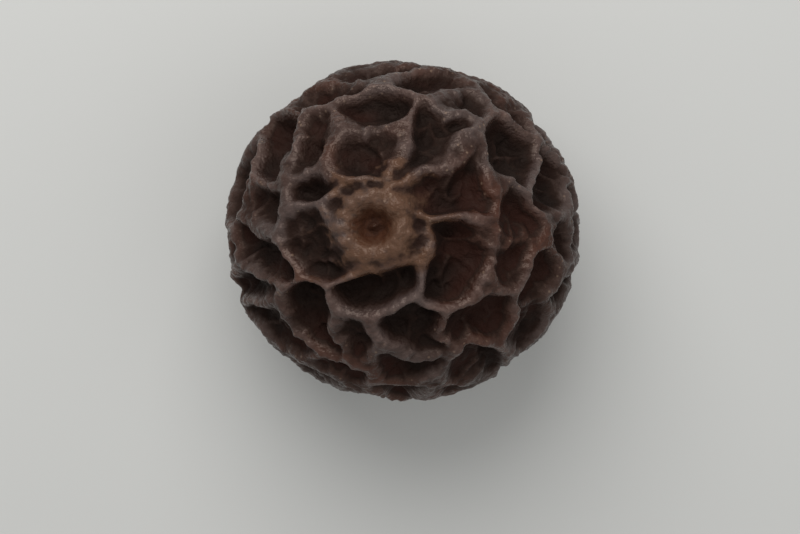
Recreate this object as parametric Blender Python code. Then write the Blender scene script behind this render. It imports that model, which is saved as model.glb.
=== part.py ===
"""A black peppercorn: one dried, wrinkled berry that rests on a small flat spot.

Metres, +Z up, the origin at the middle of the flat spot. The stalk scar points up, tipped a little
towards -X, and the small remnant of the flower's style sits low on the far side.

The berry is a single closed solid. Its skin shrank as it dried and left a net of raised wrinkles.
A formula raises that net from a ball. Points scattered over the ball share it out as cells. The
skin stands up in a ridge where two cells meet and sinks to a pit in the middle of each cell.
"""

from math import cos, pi, radians, sin, sqrt
from types import SimpleNamespace

import bmesh
import bpy
import numpy as np

MM = 0.001
SEED = 7

# Size over the wrinkles, along X, Y and Z
SIZE = (5.0 * MM, 4.8 * MM, 4.7 * MM)
BODY_RADIUS = 2.4 * MM

# Mesh of the ball: an icosphere, with each of its edges cut again
BALL_SUBDIVISIONS = 3
EDGE_CUTS = 5

# Edges are turned where that brings them nearer to the skin by at least this much, in a few rounds,
# and where it leaves no triangle thinner than this
TURN_ROUNDS = 5
LEAST_GAIN = 0.001 * MM
THINNEST = 0.025 * MM

# The berry's own axis, from the style remnant up to the stalk scar
SCAR_TILT = radians(9)
NUB_DIRECTION = (0.46, -0.37, -0.81)

# Middles of the deep pits round the scar, as X and Y on the upper side
DEEP_PITS = (
    (-1.21 * MM, 0.60 * MM),
    (-2.02 * MM, -0.32 * MM),
    (-1.16 * MM, -1.46 * MM),
    (-0.27 * MM, -1.07 * MM),
    (0.27 * MM, -1.47 * MM),
    (0.72 * MM, -0.59 * MM),
    (1.97 * MM, -0.71 * MM),
    (1.45 * MM, 1.13 * MM),
    (-0.44 * MM, 1.67 * MM),
    (-1.68 * MM, 1.28 * MM),
)

# The other cells follow a spiral from pole to pole. Scatter and distances are on a ball of radius 1
SPIRAL_CELLS = 100
GOLDEN_ANGLE = pi * (3 - sqrt(5))
CELL_SCATTER = 0.08
CLEAR_OF_FIXED_CELLS = 0.25

# The net of ridges and pits
RIDGE_HEIGHT = 0.24 * MM
PIT_DEPTH = 0.34 * MM
DEEP_PIT_SHARE = 1.15
LEAST_DEPTH = 0.68
RIDGE_SHARPNESS = 45
LEAST_SHARE = 0.55
FAINT_RIDGES = 0.12
FAINT_SHARE = 0.1
CROSSWISE_LOSS = 0.25

# Wear: what stands higher than this is rubbed down into the little room above it
WORN_ABOVE, WORN_ROOM = -0.09 * MM, 0.13 * MM

# Slow waves that bend the ridges, and slower ones that make the whole berry uneven
BEND_WAVES, BEND_FREQUENCY, BEND_REACH = 30, (4, 12), 0.065
LUMP_WAVES, LUMP_FREQUENCY, LUMP_HEIGHT = 12, (1.5, 3.5), 0.05 * MM

# The stalk scar: a hollow in a low collar, with smooth skin round it
SCAR_HOLLOW_RADIUS, SCAR_HOLLOW_DEPTH = 0.24 * MM, 0.22 * MM
COLLAR_RADIUS, COLLAR_WIDTH, COLLAR_HEIGHT = 0.42 * MM, 0.17 * MM, 0.09 * MM
SCAR_SMOOTH_FROM, SCAR_SMOOTH_TO = 0.40 * MM, 1.00 * MM

# The style remnant: a blunt nub in a shallow moat
NUB_RADIUS, NUB_HEIGHT = 0.20 * MM, 0.13 * MM
MOAT_RADIUS, MOAT_WIDTH, MOAT_DEPTH = 0.42 * MM, 0.12 * MM, 0.05 * MM

# The flat spot: the skin is filled out there to the height of a ridge, then cut level
REST_FILL_HEIGHT = 0.12 * MM
REST_FILL_FROM, REST_FILL_TO = 0.75 * MM, 1.25 * MM
REST_CUT = 0.13 * MM
CUT_SNAP = 0.005 * MM

SKIN_COLOUR = (0.052, 0.036, 0.030, 1.0)
SKIN_ROUGHNESS = 0.62
SHARP_ANGLE = radians(60)


def clear_scene():
    for old in list(bpy.data.objects):
        bpy.data.objects.remove(old, do_unlink=True)


def unit(vectors):
    vectors = np.asarray(vectors, float)
    return vectors / np.linalg.norm(vectors, axis=-1, keepdims=True)


def berry_axes():
    """The berry's own axes as rows, the last one through the scar."""
    up = np.array((-sin(SCAR_TILT), 0, cos(SCAR_TILT)))
    side = unit(np.cross((0, 1, 0), up))
    return np.stack([side, np.cross(up, side), up])


def blend(low, high, values):
    """0 below low, 1 above high and a smooth step between them."""
    t = np.clip((values - low) / (high - low), 0, 1)
    return t * t * (3 - 2 * t)


def bump(values, middle, width):
    """A round hill of height 1."""
    return np.exp(-(((values - middle) / width) ** 2))


def waves(count, frequency, reach, width, rng):
    """A sum of plane waves in random directions, as a function that gives each point width values."""
    ways = unit(rng.normal(size=(count, 3))) * rng.uniform(*frequency, (count, 1))
    phases = rng.uniform(0, 2 * pi, count)
    strengths = rng.normal(size=(count, width)) * reach / sqrt(count)
    return lambda points: np.cos(points @ ways.T + phases) @ strengths


def spiral(count, scatter, rng):
    """Points spread over the ball along a spiral, each moved a little at random."""
    step = np.arange(count)
    height = 1 - 2 * (step + 0.5) / count
    ring = np.sqrt(1 - height**2)
    turn = GOLDEN_ANGLE * step
    points = np.stack([ring * np.cos(turn), ring * np.sin(turn), height], 1)
    return unit(points + rng.normal(0, scatter, points.shape))


def cell_middles(axes, rng):
    """The scar's cell first, then the deep pits, then the cells of the spiral."""
    across = np.array(DEEP_PITS) / BODY_RADIUS
    up = np.sqrt(1 - (across**2).sum(1))
    fixed = np.vstack([[(0, 0, 1)], np.column_stack([across, up]) @ axes.T])
    others = spiral(SPIRAL_CELLS, CELL_SCATTER, rng)
    gap = np.linalg.norm(others[:, None] - fixed[None], axis=2).min(1)
    return np.vstack([fixed, others[gap > CLEAR_OF_FIXED_CELLS]])


def cell_heights(middles, rng):
    """For each pair of cells twice the ridge between them, and for each cell the floor of its pit."""
    count = len(middles)
    ridge = rng.uniform(LEAST_SHARE, 1, (count, count))
    ridge = np.where(rng.random((count, count)) < FAINT_RIDGES, FAINT_SHARE * ridge, ridge)
    ridge = np.triu(ridge, 1)
    ridge = ridge + ridge.T
    apart = middles[:, None] - middles[None]
    lengthwise = np.abs(apart[..., 2]) / np.maximum(np.linalg.norm(apart, axis=2), 1e-9)
    heights = 2 * RIDGE_HEIGHT * ridge * (1 - CROSSWISE_LOSS * lengthwise)
    floors = -PIT_DEPTH * rng.uniform(LEAST_DEPTH, 1, count)
    floors[1 : len(DEEP_PITS) + 1] = -PIT_DEPTH * DEEP_PIT_SHARE
    np.fill_diagonal(heights, floors)
    return heights


def plan():
    """All that is drawn at random about this berry."""
    rng = np.random.default_rng(SEED)
    axes = berry_axes()
    bend = waves(BEND_WAVES, BEND_FREQUENCY, BEND_REACH, 3, rng)
    middles = cell_middles(axes, rng)
    heights = cell_heights(middles, rng)
    lumps = waves(LUMP_WAVES, LUMP_FREQUENCY, LUMP_HEIGHT, 1, rng)
    return SimpleNamespace(axes=axes, bend=bend, middles=middles, heights=heights, lumps=lumps)


def net(points, berry):
    """Each point is shared among the cells near it, and takes its height from those that share it."""
    apart = 2 - 2 * points @ berry.middles.T
    share = np.exp(-RIDGE_SHARPNESS * (apart - apart.min(1, keepdims=True)))
    share /= share.sum(1, keepdims=True)
    return ((share @ berry.heights) * share).sum(1)


def worn(heights):
    """The heights with their tops rounded off."""
    over = np.maximum(heights - WORN_ABOVE, 0)
    return np.minimum(heights, WORN_ABOVE) + WORN_ROOM * np.tanh(over / WORN_ROOM)


def arc_from(directions, pole):
    return np.arccos(np.clip(directions @ unit(pole), -1, 1)) * BODY_RADIUS


def skin(directions, berry):
    """The distance from the berry's middle to its skin, in each direction."""
    own = directions @ berry.axes.T
    relief = net(unit(own + berry.bend(own)), berry)
    lumps = berry.lumps(own)[:, 0]
    scar = arc_from(directions, berry.axes[2])
    nub = arc_from(directions, NUB_DIRECTION)
    rest = arc_from(directions, (0, 0, -1))
    wrinkled = blend(SCAR_SMOOTH_FROM, SCAR_SMOOTH_TO, scar)
    filled = 1 - blend(REST_FILL_FROM, REST_FILL_TO, rest)
    radius = BODY_RADIUS + lumps + worn(relief * wrinkled * (1 - filled) + REST_FILL_HEIGHT * filled)
    radius += COLLAR_HEIGHT * bump(scar, COLLAR_RADIUS, COLLAR_WIDTH)
    radius -= SCAR_HOLLOW_DEPTH * np.exp(-((scar / SCAR_HOLLOW_RADIUS) ** 4))
    radius += NUB_HEIGHT * bump(nub, 0, NUB_RADIUS)
    radius -= MOAT_DEPTH * bump(nub, MOAT_RADIUS, MOAT_WIDTH)
    return radius


def off_skin(start, end, berry):
    """How far the middle of the line between two points of the skin is off it."""
    middle = (start + end) / 2
    distance = np.linalg.norm(middle, axis=1)
    return np.abs(distance - skin(middle / distance[:, None], berry))


def thickness(a, b, c):
    """How thin each triangle looks from the berry's middle. It is below 0 if the triangle faces inwards."""
    longest = np.max([np.linalg.norm(side, axis=1) for side in (b - a, c - b, a - c)], axis=0)
    return (np.cross(b - a, c - a) * unit(a + b + c)).sum(1) / longest


def turn_edges(ball, berry):
    """Turns edges to the other diagonal of their two triangles where that lies nearer to the skin."""
    for _ in range(TURN_ROUNDS):
        edges = ball.edges[:]
        loops = [edge.link_loops for edge in edges]
        start = np.array([first.vert.co for first, second in loops])
        end = np.array([second.vert.co for first, second in loops])
        left = np.array([first.link_loop_prev.vert.co for first, second in loops])
        right = np.array([second.link_loop_prev.vert.co for first, second in loops])
        gain = off_skin(start, end, berry) - off_skin(left, right, berry)
        thinnest = np.minimum(thickness(left, start, right), thickness(right, end, left))
        turned = set()
        for i in np.argsort(-gain):
            wanted = gain[i] > LEAST_GAIN and thinnest[i] > THINNEST
            if wanted and turned.isdisjoint(edges[i].link_faces):
                turned.update(bmesh.utils.edge_rotate(edges[i]).link_faces)


def wrinkled_ball():
    """A bmesh ball of even triangles, with every vertex moved out to the skin."""
    ball = bmesh.new()
    bmesh.ops.create_icosphere(ball, subdivisions=BALL_SUBDIVISIONS, radius=1)
    bmesh.ops.subdivide_edges(ball, edges=ball.edges[:], cuts=EDGE_CUTS, use_grid_fill=True)
    berry = plan()
    directions = unit([vertex.co[:] for vertex in ball.verts])
    for vertex, place in zip(ball.verts, directions * skin(directions, berry)[:, None]):
        vertex.co = place
    turn_edges(ball, berry)
    return ball


def cut_flat_spot(ball):
    """Cuts the lowest skin off level and closes the cut with a flat face."""
    level = min(vertex.co.z for vertex in ball.verts) + REST_CUT
    bmesh.ops.bisect_plane(
        ball,
        geom=ball.verts[:] + ball.edges[:] + ball.faces[:],
        dist=CUT_SNAP,
        plane_co=(0, 0, level),
        plane_no=(0, 0, 1),
        use_snap_center=True,
        clear_inner=True,
    )
    rim = [edge for edge in ball.edges if edge.is_boundary]
    bmesh.ops.holes_fill(ball, edges=rim, sides=0)
    bmesh.ops.triangulate(ball, faces=[face for face in ball.faces if len(face.verts) > 3])


def fit_to_size(ball):
    """Scales the berry to its size, with the middle of its flat underside's box at the origin."""
    places = np.array([vertex.co[:] for vertex in ball.verts])
    low, high = places.min(0), places.max(0)
    base = np.array((*(low + high)[:2] / 2, low[2]))
    for vertex, place in zip(ball.verts, (places - base) * (np.array(SIZE) / (high - low))):
        vertex.co = place


def skin_material():
    material = bpy.data.materials.new("dried skin")
    material.use_nodes = True
    shader = material.node_tree.nodes["Principled BSDF"]
    shader.inputs["Base Color"].default_value = SKIN_COLOUR
    shader.inputs["Roughness"].default_value = SKIN_ROUGHNESS
    shader.inputs["Metallic"].default_value = 0.0
    return material


def make_peppercorn(collection):
    ball = wrinkled_ball()
    cut_flat_spot(ball)
    fit_to_size(ball)
    bmesh.ops.recalc_face_normals(ball, faces=ball.faces[:])
    mesh = bpy.data.meshes.new("peppercorn")
    ball.to_mesh(mesh)
    ball.free()
    mesh.shade_smooth()
    mesh.set_sharp_from_angle(angle=SHARP_ANGLE)
    mesh.materials.append(skin_material())
    peppercorn = bpy.data.objects.new("peppercorn", mesh)
    collection.objects.link(peppercorn)
    return peppercorn


def main():
    clear_scene()
    collection = bpy.data.collections.new("Black peppercorn")
    bpy.context.scene.collection.children.link(collection)
    make_peppercorn(collection)


main()
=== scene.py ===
"""A black peppercorn seen from above: its wrinkled skin in full detail, on a plain pale floor.

Metres, +Z up. The skin is raised by the same formula as the solid that it replaces, on a finer
ball, with a second net of small wrinkles added. The camera looks straight down.
"""

from math import cos, pi, radians, sin, sqrt
from types import SimpleNamespace

import bmesh
import bpy
import numpy as np
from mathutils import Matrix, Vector, noise

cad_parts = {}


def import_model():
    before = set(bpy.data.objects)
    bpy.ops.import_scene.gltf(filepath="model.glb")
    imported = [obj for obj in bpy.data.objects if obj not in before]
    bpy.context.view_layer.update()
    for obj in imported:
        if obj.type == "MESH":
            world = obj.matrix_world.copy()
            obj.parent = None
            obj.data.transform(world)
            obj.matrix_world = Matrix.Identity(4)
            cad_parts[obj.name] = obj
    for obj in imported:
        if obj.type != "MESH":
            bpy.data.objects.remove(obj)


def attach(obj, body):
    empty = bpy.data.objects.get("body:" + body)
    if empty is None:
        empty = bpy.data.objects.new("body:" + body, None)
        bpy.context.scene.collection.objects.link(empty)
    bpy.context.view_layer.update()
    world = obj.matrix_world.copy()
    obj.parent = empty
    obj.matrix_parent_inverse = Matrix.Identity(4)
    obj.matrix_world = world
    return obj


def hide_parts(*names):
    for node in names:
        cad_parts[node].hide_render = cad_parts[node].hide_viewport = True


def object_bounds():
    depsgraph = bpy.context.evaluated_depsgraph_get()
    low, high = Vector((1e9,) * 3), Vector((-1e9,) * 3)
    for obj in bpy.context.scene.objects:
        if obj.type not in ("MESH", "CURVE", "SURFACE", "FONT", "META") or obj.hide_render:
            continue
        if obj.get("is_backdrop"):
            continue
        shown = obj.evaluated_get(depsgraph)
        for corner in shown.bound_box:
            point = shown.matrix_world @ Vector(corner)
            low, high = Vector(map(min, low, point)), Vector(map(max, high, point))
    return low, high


MM = 0.001
SEED = 7
BODY_RADIUS = 2.4 * MM

# Mesh of the ball: an icosphere, with each of its edges cut again
BALL_SUBDIVISIONS = 3
EDGE_CUTS = 23

# The tilt of the berry's own axis, which ends in the stalk scar, and the way to the style remnant
SCAR_TILT = radians(9)
NUB_DIRECTION = (0.46, -0.37, -0.81)

# Middles of the deep pits round the scar, as X and Y on the upper side
DEEP_PITS = (
    (-1.21 * MM, 0.60 * MM),
    (-2.02 * MM, -0.32 * MM),
    (-1.16 * MM, -1.46 * MM),
    (-0.27 * MM, -1.07 * MM),
    (0.27 * MM, -1.47 * MM),
    (0.72 * MM, -0.59 * MM),
    (1.97 * MM, -0.71 * MM),
    (1.45 * MM, 1.13 * MM),
    (-0.44 * MM, 1.67 * MM),
    (-1.68 * MM, 1.28 * MM),
)

# The other cells follow a spiral from pole to pole. Scatter and distances are on a ball of radius 1
SPIRAL_CELLS = 100
GOLDEN_ANGLE = pi * (3 - sqrt(5))
CELL_SCATTER = 0.08
CLEAR_OF_FIXED_CELLS = 0.25

# Stands in for a cell's distance from itself, which is 0 and can't be divided by
NO_DISTANCE = 1e-9

# The net of ridges and pits
RIDGE_HEIGHT = 0.24 * MM
PIT_DEPTH = 0.34 * MM
DEEP_PIT_SHARE = 1.15
LEAST_DEPTH = 0.68
RIDGE_SHARPNESS = 45
LEAST_SHARE = 0.55
FAINT_RIDGES = 0.12
FAINT_SHARE = 0.1
CROSSWISE_LOSS = 0.25

# Wear: what stands higher than this is rubbed down into the little room above it
WORN_ABOVE, WORN_ROOM = -0.09 * MM, 0.13 * MM

# Slow waves that bend the ridges, and slower ones that make the whole berry uneven
BEND_WAVES, BEND_FREQUENCY, BEND_REACH = 30, (4, 12), 0.065
LUMP_WAVES, LUMP_FREQUENCY, LUMP_HEIGHT = 12, (1.5, 3.5), 0.05 * MM

# Quick waves that make the crests of the ridges crooked
WOBBLE_WAVES, WOBBLE_FREQUENCY, WOBBLE_REACH = 40, (12, 28), 0.028

# The second net: small wrinkles all over, kept low on the scar
FINE_CELLS = 620
FINE_SCATTER = 0.045
FINE_NEAREST = 6
FINE_SHARPNESS = 260
FINE_RIDGE, FINE_PIT = 0.070 * MM, 0.050 * MM
FINE_BEND_WAVES, FINE_BEND_FREQUENCY, FINE_BEND_REACH = 24, (8, 22), 0.035
FINE_ON_SCAR = 0.5

# Crinkles of the thin skin, from fractal noise: their number across the ball, height and roughness
CRINKLE_FREQUENCY, CRINKLE_HEIGHT = 11, 0.030 * MM
CRINKLE_OCTAVES, CRINKLE_DIMENSION, CRINKLE_LACUNARITY = 3, 0.75, 2.1
CRINKLE_OFFSET, CRINKLE_GAIN, CRINKLE_MEAN = 1.0, 2.0, 1.1
CRINKLE_ON_SCAR = 0.8

# The stalk scar: a hollow in a low collar, with smooth skin round it
SCAR_HOLLOW_RADIUS, SCAR_HOLLOW_DEPTH = 0.24 * MM, 0.22 * MM
COLLAR_RADIUS, COLLAR_WIDTH, COLLAR_HEIGHT = 0.42 * MM, 0.17 * MM, 0.09 * MM
SCAR_SMOOTH_FROM, SCAR_SMOOTH_TO = 0.40 * MM, 1.00 * MM
SCAR_FOLDS, SCAR_FOLD_COUNTS, SCAR_FOLD_HEIGHT = 12, (2, 17), 0.018 * MM
SCAR_FOLD_RADIUS, SCAR_FOLD_WIDTH = 0.46 * MM, 0.20 * MM
SCAR_STUB_RADIUS, SCAR_STUB_HEIGHT = 0.09 * MM, 0.07 * MM

# The style remnant: a blunt nub in a shallow moat
NUB_RADIUS, NUB_HEIGHT = 0.20 * MM, 0.13 * MM
MOAT_RADIUS, MOAT_WIDTH, MOAT_DEPTH = 0.42 * MM, 0.12 * MM, 0.05 * MM

# The flat spot: the skin is filled out there to the height of a ridge, then pressed level
REST_FILL_HEIGHT = 0.12 * MM
REST_FILL_FROM, REST_FILL_TO = 0.75 * MM, 1.25 * MM
REST_CUT, REST_EDGE = 0.13 * MM, 0.02 * MM

# How far the skin stands out from its surroundings, for the colours, which paint shade into sunk skin
# and creases and lighten worn crests: how often the surroundings are spread by one edge of the mesh,
# and the height that counts as a full crest
CREST_SPREADS, CREST_HEIGHT = 60, 0.06 * MM
CREASE_SPREADS, CREASE_HEIGHT = 8, 0.012 * MM

# The photograph's frame, and the box that the berry fills in it, in its pixels
FRAME_WIDTH, FRAME_HEIGHT = 800, 534
VIEW_MIDDLE = (403, 231)
VIEW_HEIGHT = 342

# The camera: its lens and the width of its sensor, in the millimetres that Blender takes, and the
# nearest and furthest that it sees, as shares of its distance
LENS, SENSOR = 180, 36
CLIP_NEAR, CLIP_FAR = 0.1, 100

FLOOR_SIDE = 1.2
FLOOR_COLOUR, FLOOR_ROUGHNESS, FLOOR_GLOSS = (0.570, 0.570, 0.558, 1), 0.9, 0.05

# The lights, as place, width, power in watts and colour, and the even light of the room
KEY_LIGHT = (-0.0042, 0.0175, 0.0258), 0.028, 0.0070, (1.0, 0.995, 0.98)
FILL_LIGHT = (0.034, -0.012, 0.046), 0.052, 0.0034, (0.99, 1.0, 1.0)
ROOM_COLOUR, ROOM_STRENGTH = (0.92, 0.93, 0.92, 1), 0.55


def unit(vectors):
    vectors = np.asarray(vectors, float)
    return vectors / np.linalg.norm(vectors, axis=-1, keepdims=True)


def berry_axes():
    """The berry's own axes as rows, the last one through the scar."""
    up = np.array((-sin(SCAR_TILT), 0, cos(SCAR_TILT)))
    side = unit(np.cross((0, 1, 0), up))
    return np.stack([side, np.cross(up, side), up])


def blend(low, high, values):
    """0 below low, 1 above high and a smooth step between them."""
    t = np.clip((values - low) / (high - low), 0, 1)
    return t * t * (3 - 2 * t)


def bump(values, middle, width):
    """A round hill of height 1."""
    return np.exp(-(((values - middle) / width) ** 2))


def waves(count, frequency, reach, width, rng):
    """A sum of plane waves in random directions, as a function that gives each point width values."""
    ways = unit(rng.normal(size=(count, 3))) * rng.uniform(*frequency, (count, 1))
    phases = rng.uniform(0, 2 * pi, count)
    strengths = rng.normal(size=(count, width)) * reach / sqrt(count)
    return lambda points: np.cos(points @ ways.T + phases) @ strengths


def spiral(count, scatter, rng):
    """Points spread over the ball along a spiral, each moved a little at random."""
    step = np.arange(count)
    height = 1 - 2 * (step + 0.5) / count
    ring = np.sqrt(1 - height**2)
    turn = GOLDEN_ANGLE * step
    points = np.stack([ring * np.cos(turn), ring * np.sin(turn), height], 1)
    return unit(points + rng.normal(0, scatter, points.shape))


def cell_middles(axes, rng):
    """The scar's cell first, then the deep pits, then the cells of the spiral."""
    across = np.array(DEEP_PITS) / BODY_RADIUS
    up = np.sqrt(1 - (across**2).sum(1))
    fixed = np.vstack([[(0, 0, 1)], np.column_stack([across, up]) @ axes.T])
    others = spiral(SPIRAL_CELLS, CELL_SCATTER, rng)
    gap = np.linalg.norm(others[:, None] - fixed[None], axis=2).min(1)
    return np.vstack([fixed, others[gap > CLEAR_OF_FIXED_CELLS]])


def cell_heights(middles, rng):
    """For each pair of cells twice the ridge between them, and for each cell the floor of its pit."""
    count = len(middles)
    ridge = rng.uniform(LEAST_SHARE, 1, (count, count))
    ridge = np.where(rng.random((count, count)) < FAINT_RIDGES, FAINT_SHARE * ridge, ridge)
    ridge = np.triu(ridge, 1)
    ridge = ridge + ridge.T
    apart = middles[:, None] - middles[None]
    lengthwise = np.abs(apart[..., 2]) / np.maximum(np.linalg.norm(apart, axis=2), NO_DISTANCE)
    heights = 2 * RIDGE_HEIGHT * ridge * (1 - CROSSWISE_LOSS * lengthwise)
    floors = -PIT_DEPTH * rng.uniform(LEAST_DEPTH, 1, count)
    floors[1 : len(DEEP_PITS) + 1] = -PIT_DEPTH * DEEP_PIT_SHARE
    np.fill_diagonal(heights, floors)
    return heights


def fine_heights(count, rng):
    """The same for the second net, with ridges from none to full height."""
    ridge = np.triu(rng.uniform(0, 1, (count, count)), 1)
    heights = 2 * FINE_RIDGE * (ridge + ridge.T)
    np.fill_diagonal(heights, -FINE_PIT * rng.uniform(0, 1, count))
    return heights


def scar_folds(rng):
    """Folds that run out from the scar, as a function of the angle round it."""
    counts = rng.integers(*SCAR_FOLD_COUNTS, SCAR_FOLDS)
    phases = rng.uniform(0, 2 * pi, SCAR_FOLDS)
    return lambda turn: np.cos(np.outer(turn, counts) + phases).sum(1) / sqrt(SCAR_FOLDS)


def plan():
    """All that is drawn at random about this berry."""
    rng = np.random.default_rng(SEED)
    axes = berry_axes()
    bend = waves(BEND_WAVES, BEND_FREQUENCY, BEND_REACH, 3, rng)
    middles = cell_middles(axes, rng)
    heights = cell_heights(middles, rng)
    lumps = waves(LUMP_WAVES, LUMP_FREQUENCY, LUMP_HEIGHT, 1, rng)
    wobble = waves(WOBBLE_WAVES, WOBBLE_FREQUENCY, WOBBLE_REACH, 3, rng)
    folds = scar_folds(rng)
    fine_bend = waves(FINE_BEND_WAVES, FINE_BEND_FREQUENCY, FINE_BEND_REACH, 3, rng)
    fine_middles = spiral(FINE_CELLS, FINE_SCATTER, rng)
    fine = fine_heights(FINE_CELLS, rng)
    return SimpleNamespace(
        axes=axes,
        bend=bend,
        middles=middles,
        heights=heights,
        lumps=lumps,
        wobble=wobble,
        folds=folds,
        fine_bend=fine_bend,
        fine_middles=fine_middles,
        fine_heights=fine,
    )


def net(points, berry):
    """Each point is shared among the cells near it, and takes its height from those that share it."""
    apart = 2 - 2 * points @ berry.middles.T
    share = np.exp(-RIDGE_SHARPNESS * (apart - apart.min(1, keepdims=True)))
    share /= share.sum(1, keepdims=True)
    return ((share @ berry.heights) * share).sum(1)


def fine_net(points, berry):
    """The second net. Only the nearest few cells share a point."""
    apart = 2 - 2 * points @ berry.fine_middles.T
    cells = np.argpartition(apart, FINE_NEAREST, axis=1)[:, :FINE_NEAREST]
    apart = np.take_along_axis(apart, cells, 1)
    share = np.exp(-FINE_SHARPNESS * (apart - apart.min(1, keepdims=True)))
    share /= share.sum(1, keepdims=True)
    height = np.zeros(len(points))
    for i in range(FINE_NEAREST):
        for j in range(FINE_NEAREST):
            height += share[:, i] * share[:, j] * berry.fine_heights[cells[:, i], cells[:, j]]
    return height


def crinkles(directions):
    """Sharp little creases of no height on average, in every size from CRINKLE_FREQUENCY down."""
    heights = [
        noise.ridged_multi_fractal(
            Vector(place),
            CRINKLE_DIMENSION,
            CRINKLE_LACUNARITY,
            CRINKLE_OCTAVES,
            CRINKLE_OFFSET,
            CRINKLE_GAIN,
        )
        for place in (directions * CRINKLE_FREQUENCY).tolist()
    ]
    return np.array(heights) - CRINKLE_MEAN


def worn(heights):
    """The heights with their tops rounded off."""
    over = np.maximum(heights - WORN_ABOVE, 0)
    return np.minimum(heights, WORN_ABOVE) + WORN_ROOM * np.tanh(over / WORN_ROOM)


def arc_from(directions, pole):
    return np.arccos(np.clip(directions @ unit(pole), -1, 1)) * BODY_RADIUS


def kept(share, wrinkled):
    """1 away from the scar, down to the share on its smooth skin."""
    return share + (1 - share) * wrinkled


def skin(directions, berry):
    """The distance from the berry's middle to its skin in each direction, and what the colours need."""
    own = directions @ berry.axes.T
    relief = net(unit(own + berry.bend(own) + berry.wobble(own)), berry)
    lumps = berry.lumps(own)[:, 0]
    scar = arc_from(directions, berry.axes[2])
    nub = arc_from(directions, NUB_DIRECTION)
    rest = arc_from(directions, (0, 0, -1))
    wrinkled = blend(SCAR_SMOOTH_FROM, SCAR_SMOOTH_TO, scar)
    filled = 1 - blend(REST_FILL_FROM, REST_FILL_TO, rest)
    main = relief * wrinkled * (1 - filled) + REST_FILL_HEIGHT * filled
    fine = fine_net(unit(own + berry.fine_bend(own)), berry) * kept(FINE_ON_SCAR, wrinkled)
    creased = CRINKLE_HEIGHT * crinkles(own) * kept(CRINKLE_ON_SCAR, wrinkled)
    folds = SCAR_FOLD_HEIGHT * bump(scar, SCAR_FOLD_RADIUS, SCAR_FOLD_WIDTH)
    folds *= berry.folds(np.arctan2(own[:, 1], own[:, 0]))
    radius = BODY_RADIUS + lumps + worn(main + fine) + creased + folds
    radius += COLLAR_HEIGHT * bump(scar, COLLAR_RADIUS, COLLAR_WIDTH)
    radius -= SCAR_HOLLOW_DEPTH * np.exp(-((scar / SCAR_HOLLOW_RADIUS) ** 4))
    radius += SCAR_STUB_HEIGHT * bump(scar, 0, SCAR_STUB_RADIUS)
    radius += NUB_HEIGHT * bump(nub, 0, NUB_RADIUS)
    radius -= MOAT_DEPTH * bump(nub, MOAT_RADIUS, MOAT_WIDTH)
    # The relief sets the colours' level, which paints shade into the pits by their depth
    about = {
        "relief": (main + PIT_DEPTH) / (RIDGE_HEIGHT + PIT_DEPTH),
        "scar": scar / MM,
        "nub": nub / MM,
    }
    return radius, about


def ball_mesh():
    ball = bmesh.new()
    bmesh.ops.create_icosphere(ball, subdivisions=BALL_SUBDIVISIONS, radius=1)
    bmesh.ops.subdivide_edges(ball, edges=ball.edges[:], cuts=EDGE_CUTS, use_grid_fill=True)
    mesh = bpy.data.meshes.new("berry")
    ball.to_mesh(mesh)
    ball.free()
    return mesh


def standing_out(mesh, radius, spreads):
    """How far each point of the skin stands out from the average of the skin round it."""
    ends = np.empty(len(mesh.edges) * 2, int)
    mesh.edges.foreach_get("vertices", ends)
    start, end = ends.reshape(-1, 2).T
    count = len(radius)
    neighbours = np.bincount(start, minlength=count) + np.bincount(end, minlength=count)
    around = radius
    for _ in range(spreads):
        total = np.bincount(start, around[end], count) + np.bincount(end, around[start], count)
        around = (around + total) / (1 + neighbours)
    return radius - around


def fitted(places, low, high):
    """The places scaled to fill the box from low to high, with the flat spot level at its bottom."""
    level = places[:, 2].min() + REST_CUT
    places[:, 2] = level + REST_EDGE * np.logaddexp(0, (places[:, 2] - level) / REST_EDGE)
    start, end = places.min(0), places.max(0)
    return low + (places - start) * ((high - low) / (end - start))


def make_berry(low, high):
    mesh = ball_mesh()
    places = np.empty(len(mesh.vertices) * 3)
    mesh.vertices.foreach_get("co", places)
    directions = unit(places.reshape(-1, 3))
    radius, about = skin(directions, plan())
    # Crest and crease darken sunk skin in the colours as painted shade, and lighten the worn crests
    about["crest"] = standing_out(mesh, radius, CREST_SPREADS) / CREST_HEIGHT
    about["crease"] = standing_out(mesh, radius, CREASE_SPREADS) / CREASE_HEIGHT
    mesh.vertices.foreach_set("co", fitted(directions * radius[:, None], low, high).ravel())
    mesh.update()
    mesh.shade_smooth()
    for name, values in about.items():
        mesh.attributes.new(name, "FLOAT", "POINT").data.foreach_set("value", values.astype(np.float32))
    berry = bpy.data.objects.new("peppercorn_skin", mesh)
    bpy.context.scene.collection.objects.link(berry)
    return berry


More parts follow.
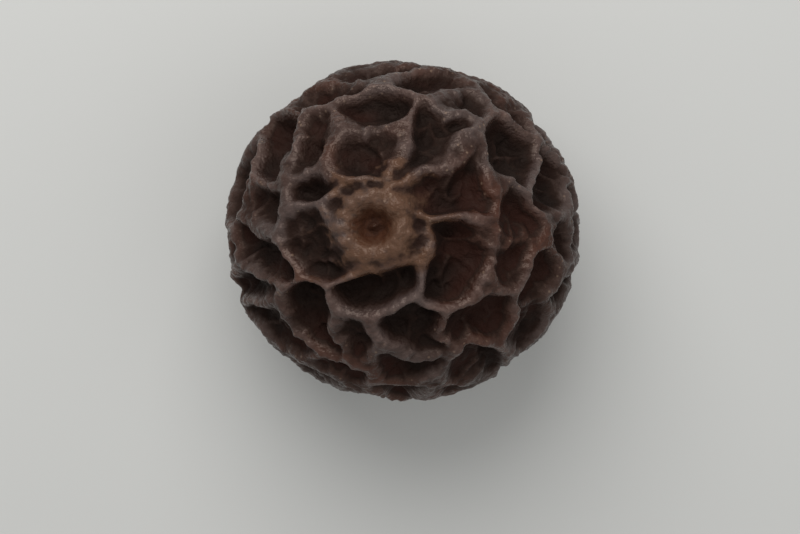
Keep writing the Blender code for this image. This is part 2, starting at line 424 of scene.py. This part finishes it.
class Nodes:
    """Short names for building a material out of nodes."""

    def __init__(self, name):
        self.material = bpy.data.materials.new(name)
        self.material.use_nodes = True
        self.tree = self.material.node_tree
        self.shader = self.tree.nodes["Principled BSDF"]

    def node(self, kind, **settings):
        made = self.tree.nodes.new(kind)
        for name, value in settings.items():
            setattr(made, name, value)
        return made

    def join(self, source, target):
        self.tree.links.new(source, target)

    def put(self, socket, value):
        """A link if value is a socket, and its own value otherwise."""
        if isinstance(value, bpy.types.NodeSocket):
            self.join(value, socket)
        else:
            socket.default_value = value

    def attribute(self, name):
        return self.node("ShaderNodeAttribute", attribute_name=name).outputs["Fac"]

    def texture(self, kind, size):
        """A pattern fixed to the object, with features about size metres across."""
        made = self.node(kind)
        self.join(self.node("ShaderNodeTexCoord").outputs["Object"], made.inputs["Vector"])
        made.inputs["Scale"].default_value = 1 / size
        return made

    def noise(self, size, detail, roughness, distortion):
        made = self.texture("ShaderNodeTexNoise", size)
        made.inputs["Detail"].default_value = detail
        made.inputs["Roughness"].default_value = roughness
        made.inputs["Distortion"].default_value = distortion
        return made.outputs["Fac"]

    def from_points(self, size):
        """The distance to the nearest of points strewn about size metres apart, in units of size."""
        return self.texture("ShaderNodeTexVoronoi", size).outputs["Distance"]

    def math(self, operation, a, b):
        made = self.node("ShaderNodeMath", operation=operation)
        self.put(made.inputs[0], a)
        self.put(made.inputs[1], b)
        return made.outputs[0]

    def times(self, a, b):
        return self.math("MULTIPLY", a, b)

    def total(self, first, *others):
        for other in others:
            first = self.math("ADD", first, other)
        return first

    def ranged(self, value, span, ends):
        """Goes smoothly from one end to the other while the value crosses the span."""
        made = self.node("ShaderNodeMapRange", interpolation_type="SMOOTHSTEP")
        self.join(value, made.inputs["Value"])
        made.inputs["From Min"].default_value, made.inputs["From Max"].default_value = span
        made.inputs["To Min"].default_value, made.inputs["To Max"].default_value = ends
        return made.outputs["Result"]

    def ramp(self, value, stops):
        made = self.node("ShaderNodeValToRGB")
        self.join(value, made.inputs["Fac"])
        points = made.color_ramp.elements
        for position, _ in stops[1:-1]:
            points.new(position)
        for point, (position, colour) in zip(points, stops):
            point.position = position
            point.color = (*colour, 1)
        return made.outputs["Color"]

    def cover(self, colour, share, above):
        """The colour with a share of another one laid over it."""
        made = self.node("ShaderNodeMix", data_type="RGBA")
        self.join(share, made.inputs["Factor"])
        self.join(colour, made.inputs["A"])
        made.inputs["B"].default_value = (*above, 1)
        return made.outputs["Result"]

    def bumps(self, height, depth):
        made = self.node("ShaderNodeBump")
        made.inputs["Distance"].default_value = depth
        self.join(height, made.inputs["Height"])
        return made.outputs["Normal"]


# Skin colours, from the floor of a pit, whose darkness is partly painted shade, to a paler worn crest
SKIN_COLOURS = (
    (0.00, (0.0042, 0.0009, 0.0004)),
    (0.25, (0.0095, 0.0029, 0.0017)),
    (0.50, (0.0200, 0.0082, 0.0057)),
    (0.75, (0.0440, 0.0236, 0.0190)),
    (1.00, (0.0980, 0.0640, 0.0555)),
)
REDDISH = (0.0580, 0.0170, 0.0085)
GREY_BLOOM = (0.0760, 0.0590, 0.0560)
PIT_RED = (0.0230, 0.0048, 0.0026)
TAN = (0.1080, 0.0545, 0.0315)
RUST = (0.0540, 0.0165, 0.0062)
SCAR_DARK = (0.0130, 0.0030, 0.0013)
PALE_SPECK = (0.2200, 0.1500, 0.1050)
WARM_GLOSS, GLOSS_LEVEL = (1.0, 0.80, 0.69, 1), 0.27

# Noise in the skin: its size, detail, roughness and distortion
MOTTLE = 0.26 * MM, 3, 0.6, 0
PATCHES = 1.5 * MM, 2, 0.55, 0.4
GRAIN = 0.075 * MM, 2, 0.6, 0
STREWN = 0.6 * MM, 2, 0.55, 0

# Most values below pair a span of some measure with what it gives at the two ends of the span
NOISE_SPAN, NONE_TO_ALL = (0.3, 0.7), (0.0, 1.0)

# These add up to the level of the skin, from about 0 on the floor of a pit to 1 on a worn crest. The
# low levels in pits and creases are partly painted shade; the paler crests are real wear
SHADE_AND_WEAR_BY_RELIEF = (-0.12, 0.80), (0.10, 0.45)
SHADE_AND_WEAR_BY_CREST = (-2.0, 2.2), (-0.12, 0.30)
SHADE_AND_WEAR_BY_CREASE = (-3.0, 3.5), (-0.14, 0.18)
LEVEL_BY_MOTTLE = NOISE_SPAN, (-0.07, 0.07)
LEVEL_BY_GRAIN = NOISE_SPAN, (-0.06, 0.06)

# Patches of other colours, on raised skin and in pits
RAISED_BY_LEVEL = (0.25, 0.80), NONE_TO_ALL
SUNK_BY_LEVEL = (0.34, 0.12), NONE_TO_ALL
REDDISH_BY_PATCHES = (0.48, 0.66), (0.0, 0.60)
PIT_RED_BY_PATCHES = (0.44, 0.60), (0.0, 0.65)
BLOOM_BY_PATCHES = (0.52, 0.36), (0.0, 0.50)

# Tan round the scar, by the distance from it in millimetres, which the first three make uneven
EDGE_BY_MOTTLE = (0.25, 0.75), (-0.32, 0.32)
EDGE_BY_PATCHES = (0.35, 0.65), (0.22, -0.22)
EDGE_BY_CREASE = (-1.5, 1.5), (0.30, -0.15)
TAN_BY_DISTANCE = (0.42, 1.05), (0.70, 0.0)
TAN_BY_LEVEL = (0.05, 0.55), (0.25, 1.0)

# The scar's hollow and the style remnant, by the distance from their middles in millimetres
HOLLOW_BY_GRAIN = NOISE_SPAN, (-0.05, 0.05)
RUST_IN_HOLLOW = (0.16, 0.34), (0.90, 0.0)
DARK_IN_HOLLOW = (0.06, 0.24), (0.70, 0.0)
NUB_BY_MOTTLE = NOISE_SPAN, (-0.06, 0.06)
TAN_ON_NUB = (0.14, 0.34), (0.55, 0.0)
RUST_ON_NUB = (0.03, 0.12), (0.85, 0.0)

# Pale specks: how far apart they are, how wide as a share of that, and where they are strewn
SPECK_SPACING = 0.11 * MM
SPECK_BY_DISTANCE = (0.22, 0.10), (0.0, 0.50)
SPECKS_BY_NOISE = (0.42, 0.60), NONE_TO_ALL

ROUGHNESS_BY_LEVEL = (0.20, 0.75), (0.80, 0.27)
ROUGHNESS_BY_MOTTLE = NOISE_SPAN, (-0.07, 0.07)
BUMP_DEPTH, MOTTLE_IN_BUMPS = 0.022 * MM, 2.2


def skin_material():
    n = Nodes("dried pepper skin")
    scar, crease = n.attribute("scar"), n.attribute("crease")
    mottle, patches, grain = n.noise(*MOTTLE), n.noise(*PATCHES), n.noise(*GRAIN)

    # Painted shade: pits, hollows and creases come out darker by their depth and sunkenness, on top of
    # the real paler wear of the crests
    level = n.total(
        n.ranged(n.attribute("relief"), *SHADE_AND_WEAR_BY_RELIEF),
        n.ranged(n.attribute("crest"), *SHADE_AND_WEAR_BY_CREST),
        n.ranged(crease, *SHADE_AND_WEAR_BY_CREASE),
        n.ranged(mottle, *LEVEL_BY_MOTTLE),
        n.ranged(grain, *LEVEL_BY_GRAIN),
    )
    colour = n.ramp(level, SKIN_COLOURS)

    raised = n.ranged(level, *RAISED_BY_LEVEL)
    sunk = n.ranged(level, *SUNK_BY_LEVEL)
    colour = n.cover(colour, n.times(n.ranged(patches, *REDDISH_BY_PATCHES), raised), REDDISH)
    colour = n.cover(colour, n.times(n.ranged(patches, *PIT_RED_BY_PATCHES), sunk), PIT_RED)
    colour = n.cover(colour, n.times(n.ranged(patches, *BLOOM_BY_PATCHES), raised), GREY_BLOOM)

    distance = n.total(
        scar,
        n.ranged(mottle, *EDGE_BY_MOTTLE),
        n.ranged(patches, *EDGE_BY_PATCHES),
        n.ranged(crease, *EDGE_BY_CREASE),
    )
    tan = n.times(n.ranged(distance, *TAN_BY_DISTANCE), n.ranged(level, *TAN_BY_LEVEL))
    colour = n.cover(colour, tan, TAN)
    hollow = n.total(scar, n.ranged(grain, *HOLLOW_BY_GRAIN))
    colour = n.cover(colour, n.ranged(hollow, *RUST_IN_HOLLOW), RUST)
    colour = n.cover(colour, n.ranged(hollow, *DARK_IN_HOLLOW), SCAR_DARK)
    nub = n.total(n.attribute("nub"), n.ranged(mottle, *NUB_BY_MOTTLE))
    colour = n.cover(colour, n.ranged(nub, *TAN_ON_NUB), TAN)
    colour = n.cover(colour, n.ranged(nub, *RUST_ON_NUB), RUST)

    strewn = n.times(raised, n.ranged(n.noise(*STREWN), *SPECKS_BY_NOISE))
    specks = n.times(n.ranged(n.from_points(SPECK_SPACING), *SPECK_BY_DISTANCE), strewn)
    colour = n.cover(colour, specks, PALE_SPECK)
    n.join(colour, n.shader.inputs["Base Color"])

    rough = n.total(n.ranged(level, *ROUGHNESS_BY_LEVEL), n.ranged(mottle, *ROUGHNESS_BY_MOTTLE))
    n.join(rough, n.shader.inputs["Roughness"])
    n.shader.inputs["Specular IOR Level"].default_value = GLOSS_LEVEL
    n.shader.inputs["Specular Tint"].default_value = WARM_GLOSS

    height = n.total(n.times(mottle, MOTTLE_IN_BUMPS), grain)
    n.join(n.bumps(height, BUMP_DEPTH), n.shader.inputs["Normal"])
    return n.material


def floor_material():
    n = Nodes("pale floor")
    n.shader.inputs["Base Color"].default_value = FLOOR_COLOUR
    n.shader.inputs["Roughness"].default_value = FLOOR_ROUGHNESS
    n.shader.inputs["Specular IOR Level"].default_value = FLOOR_GLOSS
    return n.material


def make_floor():
    bpy.ops.mesh.primitive_plane_add(size=FLOOR_SIDE)
    floor = bpy.context.object
    floor.name = "floor"
    floor.data.materials.append(floor_material())
    floor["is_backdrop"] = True


def make_camera(low, high):
    """Straight above, with the berry where the photograph shows its main object, and as large."""
    metres_per_pixel = (high[1] - low[1]) / VIEW_HEIGHT
    middle = (low + high) / 2
    camera = bpy.data.objects.new("camera", bpy.data.cameras.new("camera"))
    camera.data.sensor_width = SENSOR
    camera.data.lens = LENS
    distance = LENS / SENSOR * FRAME_WIDTH * metres_per_pixel
    camera.location = (
        middle[0] - (VIEW_MIDDLE[0] - FRAME_WIDTH / 2) * metres_per_pixel,
        middle[1] + (VIEW_MIDDLE[1] - FRAME_HEIGHT / 2) * metres_per_pixel,
        middle[2] + distance,
    )
    camera.data.clip_start = distance * CLIP_NEAR
    camera.data.clip_end = distance * CLIP_FAR
    bpy.context.scene.collection.objects.link(camera)
    bpy.context.scene.camera = camera


def make_light(name, aim, place, size, power, colour):
    data = bpy.data.lights.new(name, "AREA")
    data.shape = "DISK"
    data.size = size
    data.energy = power
    data.color = colour
    light = bpy.data.objects.new(name, data)
    light.location = place
    light.rotation_euler = (Vector(aim) - Vector(place)).to_track_quat("-Z", "Y").to_euler()
    bpy.context.scene.collection.objects.link(light)


def make_lights(middle):
    make_light("key", middle, *KEY_LIGHT)
    make_light("fill", middle, *FILL_LIGHT)
    world = bpy.data.worlds.new("studio")
    world.use_nodes = True
    background = world.node_tree.nodes["Background"]
    background.inputs["Color"].default_value = ROOM_COLOUR
    background.inputs["Strength"].default_value = ROOM_STRENGTH
    bpy.context.scene.world = world
    bpy.context.scene.view_settings.view_transform = "Standard"


def corners():
    return [list(corner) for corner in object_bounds()]


def main():
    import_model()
    cad_box = corners()
    low, high = (np.array(corner) for corner in cad_box)
    berry = make_berry(low, high)
    berry.data.materials.append(skin_material())
    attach(berry, "root")
    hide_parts("peppercorn")
    make_floor()
    make_camera(low, high)
    make_lights((low + high) / 2)
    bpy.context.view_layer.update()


main()
